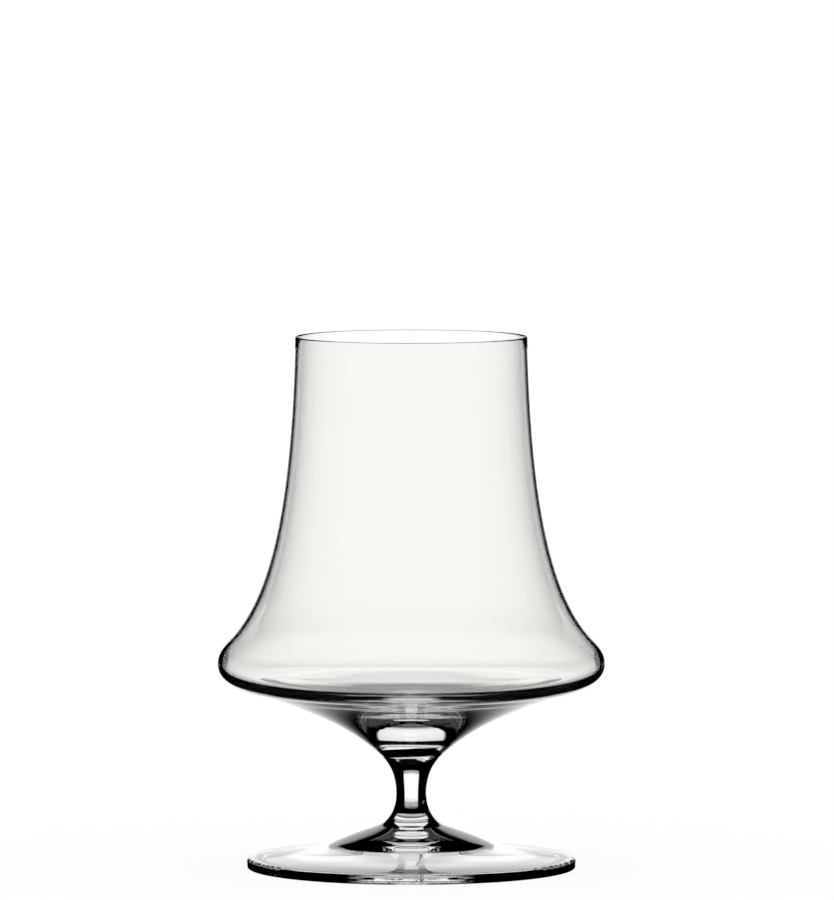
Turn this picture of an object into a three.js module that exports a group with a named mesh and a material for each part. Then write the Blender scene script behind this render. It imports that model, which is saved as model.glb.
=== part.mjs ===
// A clear stemmed whisky glass, made of three gathers of glass joined while hot.
// Millimetres, +Z up, the glass stands on Z = 0 with its axis on the Z axis.
// Radii are measured from the axis, rises from the feature below and slopes in degrees above level.
// A reach is how far a curve is drawn out along its slope before it bends away.
import * as THREE from 'three';

// The whole glass, from the table to the rim
const height = 137.6;

// Foot: a round disc on a narrow stand ring, hollow below, with a low dome in the middle
const footRadius = 42.5;
const footEdgeHeight = 2.8;
const footLowerRound = 0.6;
const footUpperRound = 1.1;
const footEdgeSlope = 2;
const standRingWidth = 1.5;
const hollowDepth = 4.8;
const hollowTopReach = 5.6;
const hollowKneeRadius = 16.9;
const hollowKneeDepth = 5.3;
const hollowKneeSlope = 15;
const hollowKneeReach = 8.1;
const hollowEdgeSlope = 14.7;
const hollowEdgeReach = 8;
const domeRadius = 21;
const domeBaseHeight = 6.1;
const discSlopeAtDome = 13.6;
const discReach = 7.1;
const domeSlopeAtBase = 27.7;
const domeBaseReach = 5.7;
const domeTopReach = 5;
const domeRise = 4.9;

// Joint of foot and stem: one ring shared by both
const footJointRadius = 8.4;
const footJointSlope = 19;

// Stem: a solid neck, narrow at the waist and flared at both ends
const waistRadius = 3.9;
const waistRise = 8.2;
const lowerFlareReach = 0.4;
const lowerWaistReach = 6;
const upperWaistReach = 6.5;
const upperFlareReach = 5.5;
const upperFlareRise = 12.8;

// Joint of stem and bowl: one ring shared by both
const bowlJointRadius = 11;
const bowlJointSlope = 38.3;

// Bowl, outside: a cone, a soft crease, a round shoulder and a bell wall up to the rim
const coneReachBelow = 12.5;
const coneReachAbove = 3.7;
const coneRise = 13.5;
const creaseInset = 10.4;
const creaseSlopeBelow = 19.5;
const creaseSlopeAbove = 10;
const creaseReach = 4.1;
const undersideRise = 7.4;
const shoulderRadius = 50;
const shoulderReachBelow = 4.9;
const shoulderReachAbove = 3.1;
const flareInset = 4.6;
const flareRise = 7.9;
const flareSlope = 49.6;
const flareReachBelow = 4.7;
const flareReachAbove = 17.2;
const rimRadius = 30;
const rimSlope = 88.6;
const rimReach = 34;

// Bowl, inside: a thin wall from the lip to the shoulder, then a dished floor over the solid cone
const lipThickness = 0.75;
const flareThickness = 0.95;
const flareReachInside = 4.4;
const shoulderThickness = 1.15;
const shoulderReachInsideAbove = 2.9;
const shoulderReachInsideBelow = 5.5;
const floorKneeRadius = 33.4;
const floorKneeRise = 0.5;
const floorKneeSlope = 20.2;
const floorKneeReachOut = 3.5;
const floorKneeReachIn = 14;
const floorReach = 9.1;
const floorDrop = 3.6;

// How finely the round and curved surfaces are cut
const sidesAround = 64;
const stepsRound = 4;
const stepsBend = 6;
const stepsLong = 10;
const leastStep = 0.0001;

const point = (radius, z) => new THREE.Vector2(radius, z);

// A place straight above another, or below it for a length under zero.
const above = (start, length) => point(start.x, start.y + length);

// A place reached from another by going a length along a slope, away from the axis.
function outward(start, slope, length) {
  const angle = THREE.MathUtils.degToRad(slope);
  return point(start.x + length * Math.cos(angle), start.y + length * Math.sin(angle));
}

// The same, towards the axis.
const inward = (start, slope, length) => outward(start, -slope, -length);

// A place a length inside the wall, square to the slope of the wall there.
function within(start, slope, length) {
  const angle = THREE.MathUtils.degToRad(slope);
  return point(start.x - length * Math.sin(angle), start.y - length * Math.cos(angle));
}

// A smooth curve between two places, drawn out by its two handles.
function curve(start, startHandle, endHandle, end, steps) {
  return new THREE.CubicBezierCurve(start, startHandle, endHandle, end).getPoints(steps);
}

// Part of a circle about a centre, between two angles in degrees.
function turn(centre, radius, startAngle, endAngle) {
  const from = THREE.MathUtils.degToRad(startAngle);
  const to = THREE.MathUtils.degToRad(endAngle);
  return new THREE.EllipseCurve(centre.x, centre.y, radius, radius, from, to).getPoints(stepsRound);
}

// A solid of revolution from stretches of outline that run from axis to axis, up the outside.
function roundPiece(name, stretches, material) {
  const outline = stretches.flat().filter((place, index, all) => {
    return index === 0 || place.distanceTo(all[index - 1]) > leastStep;
  });
  const geometry = new THREE.LatheGeometry(outline, sidesAround);
  geometry.rotateX(Math.PI / 2);
  const mesh = new THREE.Mesh(geometry, material);
  mesh.name = name;
  return mesh;
}

function clearGlass(color, roughness) {
  return new THREE.MeshStandardMaterial({ color, roughness, metalness: 0, transparent: true, opacity: 0.35 });
}

// Places on the outline that neighbouring curves and pieces share, from the foot up
const domeBase = point(domeRadius, domeBaseHeight);
const footJoint = point(footJointRadius, domeBase.y + domeRise);
const waist = point(waistRadius, footJoint.y + waistRise);
const bowlJoint = point(bowlJointRadius, waist.y + upperFlareRise);
const crease = point(shoulderRadius - creaseInset, bowlJoint.y + coneRise);
const shoulder = point(shoulderRadius, crease.y + undersideRise);
const flare = point(shoulderRadius - flareInset, shoulder.y + flareRise);
const rim = point(rimRadius, height);

function makeFoot() {
  const hollowTop = point(0, hollowDepth);
  const hollowKnee = point(hollowKneeRadius, hollowKneeDepth);
  const hollowEdge = point(footRadius - footLowerRound - standRingWidth, 0);
  const hollowMiddle = curve(
    hollowTop,
    outward(hollowTop, 0, hollowTopReach),
    inward(hollowKnee, hollowKneeSlope, hollowKneeReach),
    hollowKnee,
    stepsBend,
  );
  const hollowSide = curve(
    hollowKnee,
    outward(hollowKnee, -hollowKneeSlope, hollowKneeReach),
    inward(hollowEdge, hollowEdgeSlope, hollowEdgeReach),
    hollowEdge,
    stepsBend,
  );
  const lowerRound = turn(point(footRadius - footLowerRound, footLowerRound), footLowerRound, -90, 0);
  const upperCentre = point(footRadius - footUpperRound, footEdgeHeight - footUpperRound);
  const upperRound = turn(upperCentre, footUpperRound, 0, 90 - footEdgeSlope);
  const discEdge = upperRound.at(-1);
  const disc = curve(
    discEdge,
    inward(discEdge, footEdgeSlope, discReach),
    outward(domeBase, -discSlopeAtDome, discReach),
    domeBase,
    stepsRound,
  );
  const dome = curve(
    domeBase,
    inward(domeBase, domeSlopeAtBase, domeBaseReach),
    outward(footJoint, -footJointSlope, domeTopReach),
    footJoint,
    stepsBend,
  );
  const jointFace = [point(0, footJoint.y)];
  const stretches = [hollowMiddle, hollowSide, lowerRound, upperRound, disc, dome, jointFace];
  return roundPiece('foot', stretches, clearGlass(0xe6e8e5, 0.05));
}

function makeStem() {
  const lowerFace = [point(0, footJoint.y)];
  const lowerFlare = curve(
    footJoint,
    inward(footJoint, footJointSlope, lowerFlareReach),
    above(waist, -lowerWaistReach),
    waist,
    stepsBend,
  );
  const upperFlare = curve(
    waist,
    above(waist, upperWaistReach),
    inward(bowlJoint, -bowlJointSlope, upperFlareReach),
    bowlJoint,
    stepsBend,
  );
  const upperFace = [point(0, bowlJoint.y)];
  return roundPiece('stem', [lowerFace, lowerFlare, upperFlare, upperFace], clearGlass(0xe9ebe8, 0.04));
}

function makeBowl() {
  const lipRadius = lipThickness / 2;
  const lip = turn(point(rim.x - lipRadius, rim.y - lipRadius), lipRadius, 0, 180);
  const rimOutside = lip.at(0);
  const rimInside = lip.at(-1);

  const jointFace = [point(0, bowlJoint.y)];
  const cone = curve(
    bowlJoint,
    outward(bowlJoint, bowlJointSlope, coneReachBelow),
    inward(crease, -creaseSlopeBelow, coneReachAbove),
    crease,
    stepsBend,
  );
  const underside = curve(
    crease,
    outward(crease, creaseSlopeAbove, creaseReach),
    above(shoulder, -shoulderReachBelow),
    shoulder,
    stepsBend,
  );
  const overShoulder = curve(
    shoulder,
    above(shoulder, shoulderReachAbove),
    outward(flare, -flareSlope, flareReachBelow),
    flare,
    stepsBend,
  );
  const wall = curve(
    flare,
    inward(flare, flareSlope, flareReachAbove),
    outward(rimOutside, -rimSlope, rimReach),
    rimOutside,
    stepsLong,
  );

  // The inside keeps the bends of the outside, drawn in by the thickness of the wall there
  const flareInside = within(flare, flareSlope, flareThickness);
  const shoulderInside = point(shoulder.x - shoulderThickness, shoulder.y);
  const floorKnee = point(floorKneeRadius, crease.y + floorKneeRise);
  const floorMiddle = point(0, crease.y - floorDrop);
  const wallInside = curve(
    rimInside,
    outward(rimInside, -rimSlope, rimReach),
    inward(flareInside, flareSlope, flareReachAbove),
    flareInside,
    stepsLong,
  );
  const shoulderAbove = curve(
    flareInside,
    outward(flareInside, -flareSlope, flareReachInside),
    above(shoulderInside, shoulderReachInsideAbove),
    shoulderInside,
    stepsBend,
  );
  const floorSide = curve(
    shoulderInside,
    above(shoulderInside, -shoulderReachInsideBelow),
    outward(floorKnee, floorKneeSlope, floorKneeReachOut),
    floorKnee,
    stepsBend,
  );
  const floor = curve(
    floorKnee,
    inward(floorKnee, -floorKneeSlope, floorKneeReachIn),
    outward(floorMiddle, 0, floorReach),
    floorMiddle,
    stepsBend,
  );
  const outside = [jointFace, cone, underside, overShoulder, wall];
  const inside = [wallInside, shoulderAbove, floorSide, floor];
  return roundPiece('bowl', [...outside, lip, ...inside], clearGlass(0xf1f2ef, 0.03));
}

const glass = new THREE.Group();
glass.name = 'whisky_glass';
glass.add(makeFoot(), makeStem(), makeBowl());

export default glass;
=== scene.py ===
import math

import bpy
import numpy as np
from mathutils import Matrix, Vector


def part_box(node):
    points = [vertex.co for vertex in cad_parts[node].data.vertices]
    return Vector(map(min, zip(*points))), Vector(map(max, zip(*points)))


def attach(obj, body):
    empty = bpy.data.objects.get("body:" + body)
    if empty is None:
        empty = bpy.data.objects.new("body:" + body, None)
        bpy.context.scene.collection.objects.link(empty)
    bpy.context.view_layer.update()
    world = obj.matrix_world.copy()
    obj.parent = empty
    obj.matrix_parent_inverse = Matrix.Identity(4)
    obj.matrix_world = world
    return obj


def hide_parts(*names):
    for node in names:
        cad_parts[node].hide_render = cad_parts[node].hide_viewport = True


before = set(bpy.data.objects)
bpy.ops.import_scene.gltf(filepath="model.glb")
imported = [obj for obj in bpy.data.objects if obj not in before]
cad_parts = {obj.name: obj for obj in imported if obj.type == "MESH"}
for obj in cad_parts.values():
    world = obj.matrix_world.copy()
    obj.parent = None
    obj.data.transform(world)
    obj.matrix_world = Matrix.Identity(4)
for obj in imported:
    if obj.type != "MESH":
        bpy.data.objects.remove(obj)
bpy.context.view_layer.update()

# Foot
# The lowest of three gathers of clear glass: a pressed disc with a low dome in its middle, hollow below
# and fire polished at the edge. The glass stands on the narrow ring at its rim, which is a little crinkled.
mm = 0.001
foot_radius, _, foot_joint_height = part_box("foot")[1]
foot_edge_height = 2.8 * mm
foot_lower_round = 0.6 * mm
foot_upper_round = 1.1 * mm
foot_edge_slope = 2.0
stand_ring_width = 1.5 * mm
hollow_depth = 4.8 * mm
hollow_top_reach = 5.6 * mm
hollow_knee = np.array([16.9, 5.3]) * mm
hollow_knee_slope = 15.0
hollow_knee_reach = 8.1 * mm
hollow_edge_slope = 14.7
hollow_edge_reach = 8.0 * mm
dome_base = np.array([21.0, 6.1]) * mm
disc_slope_at_dome = 13.6
disc_reach = 7.1 * mm
dome_slope_at_base = 27.7
dome_base_reach = 5.7 * mm
dome_top_reach = 5.0 * mm
foot_joint_radius = 8.4 * mm
foot_joint_slope = 19.0
ring_waver, ring_waver_reach = 0.5 * mm, 1.0 * mm
ring_waves = np.array([47, 61, 74, 89, 103])
hair_start, hair_end = 22.3 * mm, 32.0 * mm
hair_start_angle, hair_end_angle, hair_bow = -83.7, -88.3, 0.8
hair_depth, hair_half_width, hair_fade = 0.1 * mm, 0.2 * mm, 1.2 * mm
# How far the glass is darkened towards black along the hair groove.
hair_darkening = 0.85
# Painted shade: the foot's tint and its cords are far darker than the stem's and the bowl's, so that the
# foot's disc shows grey.
foot_tint_painted_dark, foot_cord_painted_dark = (0.87, 0.87, 0.855), (0.83, 0.832, 0.815)
foot_polish, skin_ripple = 0.006, 0.001 * mm
glass_index = 1.52
cord_scale, patch_scale, ripple_scale = 45.0, 160.0, 70.0
dull_from, dull_to = 0.45, 0.75
foot_sides, foot_curve_steps = 480, 28
lower_round_steps, upper_round_steps = 10, 12
hair_window, hair_step = (-90.5, -81.5), 0.15


def outward(start, slope, length):
    """The place a length away from start, along a slope in degrees above level, away from the axis."""
    angle = math.radians(slope)
    return start + length * np.array([math.cos(angle), math.sin(angle)])


def inward(start, slope, length):
    """The place a length away from start, along a slope in degrees above level, towards the axis."""
    return outward(start, -slope, -length)


def curve(start, start_handle, end_handle, end, steps):
    """Places on a cubic curve from start to end, drawn out by two handles, without its first place."""
    t = np.linspace(0, 1, steps + 1)[1:, None]
    near_start = (1 - t) ** 3 * start + 3 * (1 - t) ** 2 * t * start_handle
    return near_start + 3 * (1 - t) * t**2 * end_handle + t**3 * end


def turn(centre, radius, from_angle, to_angle, steps):
    """Places on an arc about centre, between two angles in degrees."""
    angle = np.radians(np.linspace(from_angle, to_angle, steps + 1))
    return centre + radius * np.stack([np.cos(angle), np.sin(angle)], axis=1)


def turned_glass(name, outline, angle, joint_rings=(), pressed=0.0, sunk=0.0, darkening=0.0, haze=0.0):
    """
    A closed surface of revolution. Each place of the outline is a radius and a height, carried round the
    axis to each angle; the first and last lie on the axis and become single points. Pressed and sunk are
    how far each place, at each angle, is pushed in towards the axis and downwards, darkening is how dark
    its glass is there and haze how matt. The outline's places numbered in joint_rings are sharp edges, and
    the flat faces inside them take the second material.
    """
    sides = len(angle)
    radius, height = outline[1:-1, 0], outline[1:-1, 1]
    rings = len(radius)
    reach = radius[:, None] - pressed
    places = np.empty((rings, sides, 3))
    places[..., 0] = reach * np.cos(angle)
    places[..., 1] = reach * np.sin(angle)
    places[..., 2] = height[:, None] - sunk
    poles = np.array([[0, 0, outline[0, 1]], [0, 0, outline[-1, 1]]])
    points = np.concatenate([places.reshape(-1, 3), poles])

    here = np.arange(sides)
    onward = np.roll(here, -1)
    row = np.arange(rings - 1)[:, None] * sides
    walls = np.stack([row + here, row + onward, row + sides + onward, row + sides + here], axis=-1)
    last = (rings - 1) * sides
    first_pole, last_pole = rings * sides, rings * sides + 1
    first_cap = np.stack([np.full(sides, first_pole), onward, here], axis=1)
    last_cap = np.stack([np.full(sides, last_pole), last + here, last + onward], axis=1)
    faces = walls.reshape(-1, 4).tolist() + first_cap.tolist() + last_cap.tolist()

    mesh = bpy.data.meshes.new(name)
    mesh.from_pydata(points.tolist(), [], faces)
    mesh.update()
    mesh.shade_smooth()
    ends = np.empty(2 * len(mesh.edges), dtype=int)
    mesh.edges.foreach_get("vertices", ends)
    ends = ends.reshape(-1, 2)
    sharp = np.zeros(len(mesh.edges), dtype=bool)
    slots = np.zeros(len(mesh.polygons), dtype=int)
    wall_faces = (rings - 1) * sides
    for ring in joint_rings:
        inside = np.arange(sides) + ring * sides
        sharp |= np.isin(ends, inside).all(axis=1)
        cap = 0 if ring == 0 else sides
        slots[wall_faces + cap : wall_faces + cap + sides] = 1
    mesh.attributes.new("sharp_edge", "BOOLEAN", "EDGE").data.foreach_set("value", sharp)
    mesh.polygons.foreach_set("material_index", slots)
    for label, values in {"darkening": darkening, "haze": haze}.items():
        spread = np.zeros(len(points))
        spread[:-2] = np.broadcast_to(values, (rings, sides)).ravel()
        mesh.attributes.new(label, "FLOAT", "POINT").data.foreach_set("value", spread)
    piece = bpy.data.objects.new(name, mesh)
    bpy.context.scene.collection.objects.link(piece)
    return piece


class Wire:
    """A socket in a node tree. Arithmetic on it adds Math nodes, and add() adds any other node."""

    def __init__(self, tree, socket=None):
        self.tree, self.socket = tree, socket

    def add(self, kind, settings=None, sockets=None, out=0):
        """Adds a node of that kind, with its settings first, then the values or links of its sockets."""
        node = self.tree.nodes.new(kind)
        for name, value in (settings or {}).items():
            setattr(node, name, value)
        for name, value in (sockets or {}).items():
            if isinstance(value, Wire):
                self.tree.links.new(value.socket, node.inputs[name])
            else:
                node.inputs[name].default_value = value
        return Wire(self.tree, node.outputs[out] if len(node.outputs) else None)

    def out(self, name):
        """Another outlet of the same node."""
        return Wire(self.tree, self.socket.node.outputs[name])

    def math(self, operation, first, second):
        """The result of a Math node."""
        return self.add("ShaderNodeMath", {"operation": operation}, {0: first, 1: second})

    def ramp(self, low, high, smooth=True):
        """Nought below low, one above high, and a rise between them that is smooth or straight."""
        kind = "SMOOTHSTEP" if smooth else "LINEAR"
        sockets = {"Value": self, "From Min": low, "From Max": high}
        return self.add("ShaderNodeMapRange", {"interpolation_type": kind}, sockets)

    def blend(self, amount, first, second):
        """The first colour where the amount is nought, the second where it is one."""
        # A Mix node's colour inlets are its numbers 6 and 7, and its colour outlet is number 2
        sockets = {"Factor": amount, 6: first, 7: second}
        return self.add("ShaderNodeMix", {"data_type": "RGBA"}, sockets, out=2)

    def __add__(self, other):
        return self.math("ADD", self, other)

    def __radd__(self, other):
        return self.math("ADD", other, self)

    def __sub__(self, other):
        return self.math("SUBTRACT", self, other)

    def __rsub__(self, other):
        return self.math("SUBTRACT", other, self)

    def __mul__(self, other):
        return self.math("MULTIPLY", self, other)

    def __rmul__(self, other):
        return self.math("MULTIPLY", other, self)


def empty_material(name):
    """A new material with an empty node tree, as a wire to add nodes to."""
    material = bpy.data.materials.new(name)
    material.use_nodes = True
    material.node_tree.nodes.clear()
    return material, Wire(material.node_tree)


def corded(wire, place, tint, shade):
    """A tint that drifts towards its shade in soft cords, as molten glass does."""
    cords = wire.add("ShaderNodeTexNoise", {}, {"Vector": place, "Scale": cord_scale, "Detail": 2.0})
    return wire.blend(cords, (*tint, 1), (*shade, 1))


def clear_glass(name, tint, shade, polish):
    """
    Clear glass with a corded tint, darkened towards black as far as the mesh's darkening value says. The
    roughness of the fire polish comes and goes in small patches up to the polish value, the mesh's haze is
    added to it, and the skin has a faint ripple.
    """
    material, wire = empty_material(name)
    place = wire.add("ShaderNodeTexCoord", out="Object")
    patches = wire.add("ShaderNodeTexNoise", {}, {"Vector": place, "Scale": patch_scale, "Detail": 3.0})
    skin = wire.add("ShaderNodeTexNoise", {}, {"Vector": place, "Scale": ripple_scale, "Detail": 1.0})
    darkening = wire.add("ShaderNodeAttribute", {"attribute_name": "darkening"}, out="Fac")
    haze = wire.add("ShaderNodeAttribute", {"attribute_name": "haze"}, out="Fac")
    colour = wire.blend(darkening, corded(wire, place, tint, shade), (0, 0, 0, 1))
    normal = wire.add("ShaderNodeBump", {}, {"Strength": 1.0, "Distance": skin_ripple, "Height": skin})
    glass = wire.add(
        "ShaderNodeBsdfPrincipled",
        {"distribution": "MULTI_GGX"},
        {
            "Base Color": colour,
            "Roughness": polish * patches.ramp(dull_from, dull_to) + haze,
            "IOR": glass_index,
            "Transmission Weight": 1.0,
            "Normal": normal,
        },
    )
    wire.add("ShaderNodeOutputMaterial", {}, {"Surface": glass})
    return material


def hot_joint(name, tint, shade):
    """Where two gathers were joined hot, the glass runs on and nothing shows of the faces that meet."""
    material, wire = empty_material(name)
    place = wire.add("ShaderNodeTexCoord", out="Object")
    sockets = {"Base Color": corded(wire, place, tint, shade), "Alpha": 0.0, "IOR": glass_index}
    joint = wire.add("ShaderNodeBsdfPrincipled", {}, sockets)
    wire.add("ShaderNodeOutputMaterial", {}, {"Surface": joint})
    return material


foot_joint = np.array([foot_joint_radius, foot_joint_height])
hollow_top = np.array([0, hollow_depth])
hollow_edge = np.array([foot_radius - foot_lower_round - stand_ring_width, 0])
lower_centre = np.array([foot_radius - foot_lower_round, foot_lower_round])
upper_centre = np.array([foot_radius - foot_upper_round, foot_edge_height - foot_upper_round])
upper_round = turn(upper_centre, foot_upper_round, 0, 90 - foot_edge_slope, upper_round_steps)
disc_edge = upper_round[-1]
hollow_middle = curve(
    hollow_top,
    outward(hollow_top, 0, hollow_top_reach),
    inward(hollow_knee, hollow_knee_slope, hollow_knee_reach),
    hollow_knee,
    foot_curve_steps,
)
hollow_side = curve(
    hollow_knee,
    outward(hollow_knee, -hollow_knee_slope, hollow_knee_reach),
    inward(hollow_edge, hollow_edge_slope, hollow_edge_reach),
    hollow_edge,
    foot_curve_steps,
)
disc = curve(
    disc_edge,
    inward(disc_edge, foot_edge_slope, disc_reach),
    outward(dome_base, -disc_slope_at_dome, disc_reach),
    dome_base,
    foot_curve_steps,
)
dome = curve(
    dome_base,
    inward(dome_base, dome_slope_at_base, dome_base_reach),
    outward(foot_joint, -foot_joint_slope, dome_top_reach),
    foot_joint,
    foot_curve_steps,
)
foot_outline = np.concatenate(
    [
        [hollow_top],
        hollow_middle,
        hollow_side,
        turn(lower_centre, foot_lower_round, -90, 0, lower_round_steps),
        upper_round,
        disc,
        dome,
        [[0, foot_joint_height]],
    ]
)


def ring_crinkle(radius, height, angle):
    """
    How far the stand ring's inner edge wanders in towards the axis: a sum of waves of the angle, kept to
    the places near that edge by a bell of the distance from it, and never outwards.
    """
    waves = np.cos(ring_waves[:, None] * angle + ring_waves[:, None] ** 2).mean(axis=0)
    away = np.hypot(radius - hollow_edge[0], height - hollow_edge[1]) / ring_waver_reach
    return ring_waver * np.exp(-(away**2))[:, None] * (1 + waves)


def hair_groove(radius, height, angle):
    """
    The depth of a fine curved groove in the top of the disc: a bell across the groove, whose middle bows
    from its start to its end as the radius grows, faded out at both ends.
    """
    along = (radius - hair_start) / (hair_end - hair_start)
    bow = hair_bow * 4 * along * (1 - along)
    middle = np.radians(hair_start_angle + (hair_end_angle - hair_start_angle) * along + bow)
    fade = np.clip((radius - hair_start) / hair_fade, 0, 1) * np.clip((hair_end - radius) / hair_fade, 0, 1)
    fade = fade * (height > foot_edge_height)
    across = radius[:, None] * (angle - middle[:, None]) / hair_half_width
    return hair_depth * fade[:, None] * np.exp(-(across**2))


round_angle = np.arange(foot_sides) * 360 / foot_sides - 180
coarse = round_angle[(round_angle < hair_window[0]) | (round_angle > hair_window[1])]
foot_angle = np.radians(np.sort(np.concatenate([coarse, np.arange(*hair_window, hair_step)])))
foot_radii, foot_heights = foot_outline[1:-1].T
hair = hair_groove(foot_radii, foot_heights, foot_angle)
foot = turned_glass(
    "foot_glass",
    foot_outline,
    foot_angle,
    joint_rings=[len(foot_outline) - 3],
    pressed=ring_crinkle(foot_radii, foot_heights, foot_angle),
    sunk=hair,
    darkening=hair / hair_depth * hair_darkening,
)
# The foot's darker tint is painted shade that greys its disc.
foot.data.materials.append(clear_glass("foot_clear_painted_shade", foot_tint_painted_dark, foot_cord_painted_dark, foot_polish))
foot.data.materials.append(hot_joint("foot_joint", foot_tint_painted_dark, foot_cord_painted_dark))
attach(foot, "root")
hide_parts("foot")

# Stem
# The middle gather: a short solid neck, drawn out hot to a waist and flared at both ends, where it was
# joined to the foot below and the bowl above.
bowl_joint_radius, _, bowl_joint_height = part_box("stem")[1]
bowl_joint_slope = 38.3
waist = np.array([3.9, 19.2]) * mm
lower_flare_reach = 0.4 * mm
lower_waist_reach = 6.0 * mm
upper_waist_reach = 6.5 * mm
upper_flare_reach = 5.5 * mm
tool_level = np.array([29.6, 31.8]) * mm
tool_lean = np.array([0.6, 0.8]) * mm
tool_turn = np.radians([30, 0])
tool_depth = np.array([0.07, 0.07]) * mm
tool_width = 0.4 * mm
stem_tint, stem_shade = (0.985, 0.985, 0.975), (0.965, 0.968, 0.955)
stem_polish = 0.004
stem_sides, lower_flare_steps, upper_flare_steps = 288, 48, 56
up = np.array([0, 1])

bowl_joint = np.array([bowl_joint_radius, bowl_joint_height])
lower_flare = curve(
    foot_joint,
    inward(foot_joint, foot_joint_slope, lower_flare_reach),
    waist - lower_waist_reach * up,
    waist,
    lower_flare_steps,
)
upper_flare = curve(
    waist,
    waist + upper_waist_reach * up,
    inward(bowl_joint, -bowl_joint_slope, upper_flare_reach),
    bowl_joint,
    upper_flare_steps,
)
stem_outline = np.concatenate(
    [[[0, foot_joint_height], foot_joint], lower_flare, upper_flare, [[0, bowl_joint_height]]]
)


def tool_rings(height, angle):
    """
    How deep the jacks pressed into the turning glass: a bell of the height about each ring, whose level
    leans to one side, summed over the rings.
    """
    level = tool_level[:, None] + tool_lean[:, None] * np.cos(angle - tool_turn[:, None])
    away = (height[:, None, None] - level) / tool_width
    return (tool_depth[:, None] * np.exp(-(away**2))).sum(axis=1)


stem_angle = np.arange(stem_sides) * 2 * math.pi / stem_sides
stem = turned_glass(
    "stem_glass",
    stem_outline,
    stem_angle,
    joint_rings=[0, len(stem_outline) - 3],
    pressed=tool_rings(stem_outline[1:-1, 1], stem_angle),
)
stem.data.materials.append(clear_glass("stem_clear", stem_tint, stem_shade, stem_polish))
stem.data.materials.append(hot_joint("stem_joint", stem_tint, stem_shade))
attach(stem, "root")
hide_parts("stem")

# Bowl
# The blown gather: a solid cone that opens to a wide shoulder, then a thin bell wall up to a fire-polished
# lip. The wall is under a millimetre at the lip and a little over one at the shoulder.
shoulder_radius, _, rim_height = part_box("bowl")[1]
rim_radius = 30 * mm
rim_slope = 88.6
rim_reach = 34 * mm
lip_thickness = 0.75 * mm
cone_reach_below = 12.5 * mm
cone_reach_above = 3.7 * mm
crease = np.array([39.6, 45.5]) * mm
crease_slope_below = 19.5
crease_slope_above = 10.0
crease_reach = 4.1 * mm
shoulder = np.array([shoulder_radius, 52.9 * mm])
shoulder_reach_below = 4.9 * mm
shoulder_reach_above = 3.1 * mm
flare = np.array([45.4, 60.8]) * mm
flare_slope = 49.6
flare_reach_below = 4.7 * mm
flare_reach_above = 17.2 * mm
flare_thickness = 0.95 * mm
flare_reach_inside = 4.4 * mm
shoulder_thickness = 1.15 * mm
shoulder_reach_inside_above = 2.9 * mm
shoulder_reach_inside_below = 5.5 * mm
floor_knee = np.array([33.4, 46.0]) * mm
floor_knee_slope = 20.2
floor_knee_reach_out = 3.5 * mm
floor_knee_reach_in = 14.0 * mm
floor_height = 41.9 * mm
floor_reach = 9.1 * mm
floor_haze, haze_start, haze_fade = 0.1, 12 * mm, 10 * mm
bowl_tint, bowl_shade = (0.998, 1.0, 0.985), (0.99, 0.992, 0.975)
bowl_polish = 0.004
lip_steps, wall_steps, bowl_curve_steps = 12, 32, 40
underside_steps, over_shoulder_steps = 56, 48

lip_radius = lip_thickness / 2
lip = turn(np.array([rim_radius - lip_radius, rim_height - lip_radius]), lip_radius, 0, 180, lip_steps)
cone = curve(
    bowl_joint,
    outward(bowl_joint, bowl_joint_slope, cone_reach_below),
    inward(crease, -crease_slope_below, cone_reach_above),
    crease,
    bowl_curve_steps,
)
underside = curve(
    crease,
    outward(crease, crease_slope_above, crease_reach),
    shoulder - shoulder_reach_below * up,
    shoulder,
    underside_steps,
)
over_shoulder = curve(
    shoulder,
    shoulder + shoulder_reach_above * up,
    outward(flare, -flare_slope, flare_reach_below),
    flare,
    over_shoulder_steps,
)
wall = curve(
    flare,
    inward(flare, flare_slope, flare_reach_above),
    outward(lip[0], -rim_slope, rim_reach),
    lip[0],
    wall_steps,
)
flare_inside = inward(flare, flare_slope - 90, flare_thickness)
shoulder_inside = shoulder - [shoulder_thickness, 0]
floor_middle = np.array([0, floor_height])
wall_inside = curve(
    lip[-1],
    outward(lip[-1], -rim_slope, rim_reach),
    inward(flare_inside, flare_slope, flare_reach_above),
    flare_inside,
    wall_steps,
)
shoulder_above = curve(
    flare_inside,
    outward(flare_inside, -flare_slope, flare_reach_inside),
    shoulder_inside + shoulder_reach_inside_above * up,
    shoulder_inside,
    bowl_curve_steps,
)
floor_side = curve(
    shoulder_inside,
    shoulder_inside - shoulder_reach_inside_below * up,
    outward(floor_knee, floor_knee_slope, floor_knee_reach_out),
    floor_knee,
    bowl_curve_steps,
)
floor_inside = curve(
    floor_knee,
    inward(floor_knee, -floor_knee_slope, floor_knee_reach_in),
    outward(floor_middle, 0, floor_reach),
    floor_middle,
    bowl_curve_steps,
)
bowl_outline = np.concatenate(
    [
        [[0, bowl_joint_height], bowl_joint],
        cone,
        underside,
        over_shoulder,
        wall,
        lip[1:],
        wall_inside,
        shoulder_above,
        floor_side,
        floor_inside,
    ]
)
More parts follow.
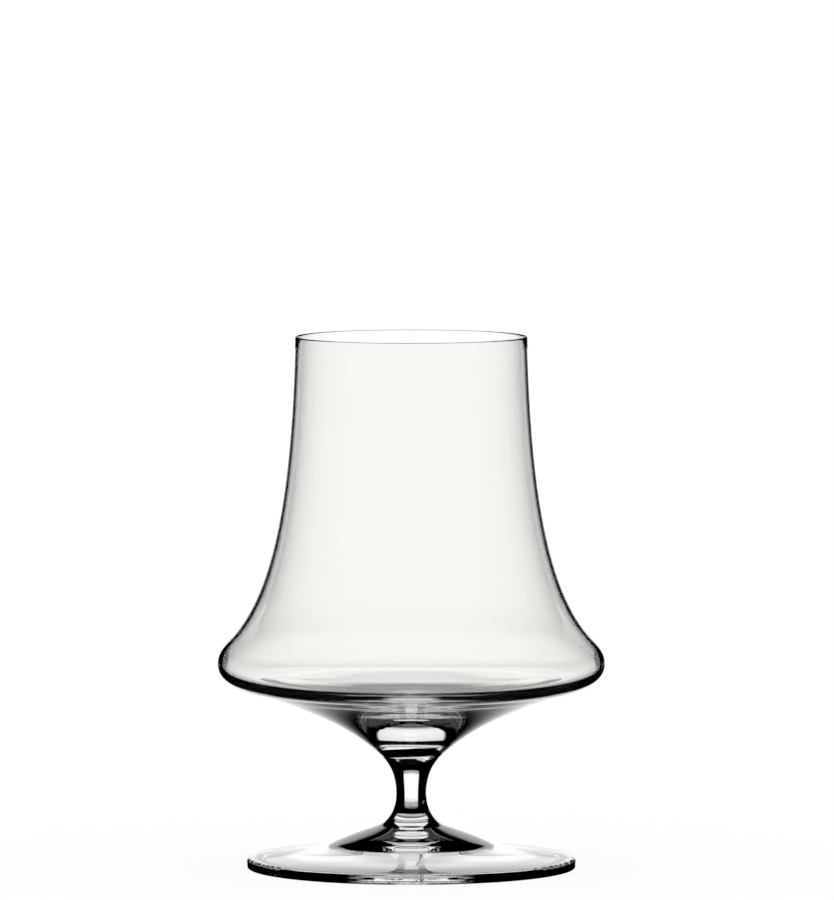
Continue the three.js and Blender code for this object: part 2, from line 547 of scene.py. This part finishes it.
# The haze grows from the shoulder to the knee of the floor, and fades out towards the middle
floor_start = len(bowl_outline) - len(floor_side) - len(floor_inside) - 1
on_floor = np.clip((np.arange(len(bowl_outline) - 2) - floor_start) / len(floor_side), 0, 1)
on_floor *= np.clip((bowl_outline[1:-1, 0] - haze_start) / haze_fade, 0, 1)
bowl = turned_glass(
    "bowl_glass",
    bowl_outline,
    stem_angle,
    joint_rings=[0],
    pressed=tool_rings(bowl_outline[1:-1, 1], stem_angle),
    haze=floor_haze * on_floor[:, None],
)
bowl.data.materials.append(clear_glass("bowl_clear", bowl_tint, bowl_shade, bowl_polish))
bowl.data.materials.append(hot_joint("bowl_joint", bowl_tint, bowl_shade))
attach(bowl, "root")
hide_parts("bowl")

# Table
# A plain white table top. Most of its white is a glow, so that it reads as white, and its matt share keeps
# the glass's shadow. The glass itself sees the lit panel behind it, not the table.
table_reach = 4.0
table_glow = 0.9


def stage_piece(name, places, faces, material):
    """A flat piece of the stage: the given places joined by faces, all of one material."""
    mesh = bpy.data.meshes.new(name)
    mesh.from_pydata(places, [], faces)
    mesh.materials.append(material)
    piece = bpy.data.objects.new(name, mesh)
    bpy.context.scene.collection.objects.link(piece)
    return piece


material, wire = empty_material("table_white")
glow = wire.add("ShaderNodeEmission", {}, {"Color": (1, 1, 1, 1), "Strength": 1.0})
matt = wire.add("ShaderNodeBsdfDiffuse", {}, {"Color": (1, 1, 1, 1)})
surface = wire.add("ShaderNodeMixShader", {}, {0: 1 - table_glow, 1: glow, 2: matt})
wire.add("ShaderNodeOutputMaterial", {}, {"Surface": surface})
corners = [(-table_reach, -table_reach, 0), (table_reach, -table_reach, 0)]
corners += [(table_reach, table_reach, 0), (-table_reach, table_reach, 0)]
table = stage_piece("table_top", corners, [(0, 1, 2, 3)], material)
table.visible_glossy = False
table.visible_transmission = False

# Light
# A white lit panel with soft edges stands a quarter of a metre behind the glass and the rest of the room is
# dark, so the walls of the glass show as dark lines on a bright field. The panel fades out at its foot.
panel_distance = 260 * mm
panel_half_width, panel_side_blur = 85 * mm, 6 * mm
panel_low, panel_low_blur = -80 * mm, 65 * mm
panel_high, panel_high_blur = 150 * mm, 20 * mm
panel_white = 1.12


def lights_only_glass(piece):
    """Hides a piece of the stage from the camera and the table, so that only the glass shows it."""
    piece.visible_camera = False
    piece.visible_diffuse = False
    piece.visible_shadow = False


panel_left, panel_right = -panel_half_width - panel_side_blur, panel_half_width + panel_side_blur
panel_bottom, panel_top = panel_low - panel_low_blur, panel_high + panel_high_blur
material, wire = empty_material("panel_light")
place = wire.add("ShaderNodeTexCoord", out="Object")
place = wire.add("ShaderNodeSeparateXYZ", {}, {0: place})
across = wire.math("ABSOLUTE", place.out("X"), 0.0)
upward = place.out("Z")
side_fade = 1 - across.ramp(panel_half_width - panel_side_blur, panel_right)
top_fade = 1 - upward.ramp(panel_high - panel_high_blur, panel_top)
foot_fade = upward.ramp(panel_bottom, panel_low + panel_low_blur)
strength = panel_white * side_fade * top_fade * foot_fade
glow = wire.add("ShaderNodeEmission", {}, {"Color": (1, 1, 1, 1), "Strength": strength})
wire.add("ShaderNodeOutputMaterial", {}, {"Surface": glow})
corners = [(panel_left, panel_distance, panel_bottom), (panel_right, panel_distance, panel_bottom)]
corners += [(panel_right, panel_distance, panel_top), (panel_left, panel_distance, panel_top)]
lights_only_glass(stage_piece("light_panel", corners, [(0, 1, 2, 3)], material))

# A white mat lies round the glass, just below the face of the table and open towards the panel. It shows only
# through two walls or more, and from the other sides it brightens the bowl's floor, as a white table does.
mat_inner, mat_outer = 48 * mm, 90 * mm
mat_start, mat_end = 32, 328
mat_level = -0.1 * mm
mat_steps = 96


def straight_through(ray):
    """One for a ray that no surface has mirrored on its way through the glass, and nought for the others."""
    return 1 - ray.out("Glossy Depth").ramp(0, 1, smooth=False)


mat_angle = np.radians(np.linspace(mat_start, mat_end, mat_steps + 1))
arc = np.stack([-np.sin(mat_angle), np.cos(mat_angle), np.zeros(mat_steps + 1)], axis=1)
mat_places = np.concatenate([mat_inner * arc, mat_outer * arc]) + [0, 0, mat_level]
inner = np.arange(mat_steps)
outer = inner + mat_steps + 1
mat_faces = np.stack([inner, inner + 1, outer + 1, outer], axis=1)
material, wire = empty_material("mat_white")
ray = wire.add("ShaderNodeLightPath", out="Is Transmission Ray")
past_one_wall = ray.out("Transmission Depth").ramp(2, 3, smooth=False)
strength = past_one_wall * straight_through(ray)
glow = wire.add("ShaderNodeEmission", {}, {"Color": (1, 1, 1, 1), "Strength": strength})
wire.add("ShaderNodeOutputMaterial", {}, {"Surface": glow})
lights_only_glass(stage_piece("white_mat", mat_places.tolist(), mat_faces.tolist(), material))

# Far off in the dark room hang three white cards, each straight behind the glass for one other side. From
# sides with no card behind it the glass looks black. The camera and the table see plain white all round.
card_sides = [(45, 25, 6), (90, 3, 22), (225, 15, 22)]
card_blur = 3
world = bpy.data.worlds.new("studio")
bpy.context.scene.world = world
world.use_nodes = True
world.node_tree.nodes.clear()
wire = Wire(world.node_tree)
direction = wire.add("ShaderNodeTexCoord", out="Generated")


def round_card(azimuth, elevation, half_angle):
    """One within half_angle of the way straight back from a viewer at that side, and nought outside it."""
    turned, raised = math.radians(azimuth), math.radians(elevation)
    level = math.cos(raised)
    facing = (-math.sin(turned) * level, math.cos(turned) * level, -math.sin(raised))
    sockets = {0: direction, 1: facing}
    near = wire.add("ShaderNodeVectorMath", {"operation": "DOT_PRODUCT"}, sockets, out="Value")
    edge, inside = np.cos(np.radians([half_angle + card_blur, half_angle - card_blur]))
    return near.ramp(edge, inside)


cards = sum(round_card(*side) for side in card_sides)
ray = wire.add("ShaderNodeLightPath", out="Is Transmission Ray")
dark = wire.math("MAXIMUM", ray, ray.out("Is Glossy Ray"))
brightness = 1 - dark + ray * straight_through(ray) * cards
sky = wire.add("ShaderNodeBackground", {}, {"Color": (1, 1, 1, 1), "Strength": brightness})
wire.add("ShaderNodeOutputWorld", {}, {"Surface": sky})

# Camera
# A long lens almost three metres away, above the rim and looking slightly down. The axis of the glass
# stands a few pixels left of the middle of the frame.
photo_width, photo_height = 834, 900
axis_pixel = 411.3
focal_pixels = 11400
camera_distance = 2.94
camera_pitch = math.radians(3.95)
aim_height = 108.24 * mm
sensor = 36.0
far_clip = 100
light_bounces = 20
lens = bpy.data.cameras.new("camera")
lens.sensor_width = sensor
lens.lens = sensor * focal_pixels / max(photo_width, photo_height)
lens.clip_end = far_clip
camera = bpy.data.objects.new("camera", lens)
aside = (photo_width / 2 - axis_pixel) / focal_pixels * camera_distance
back, rise = camera_distance * math.cos(camera_pitch), camera_distance * math.sin(camera_pitch)
camera.location = (aside, -back, aim_height + rise)
camera.rotation_euler = (math.pi / 2 - camera_pitch, 0, 0)
scene = bpy.context.scene
scene.collection.objects.link(camera)
scene.camera = camera
scene.view_settings.view_transform = "Standard"
scene.cycles.max_bounces = light_bounces
scene.cycles.transmission_bounces = light_bounces
scene.cycles.glossy_bounces = light_bounces
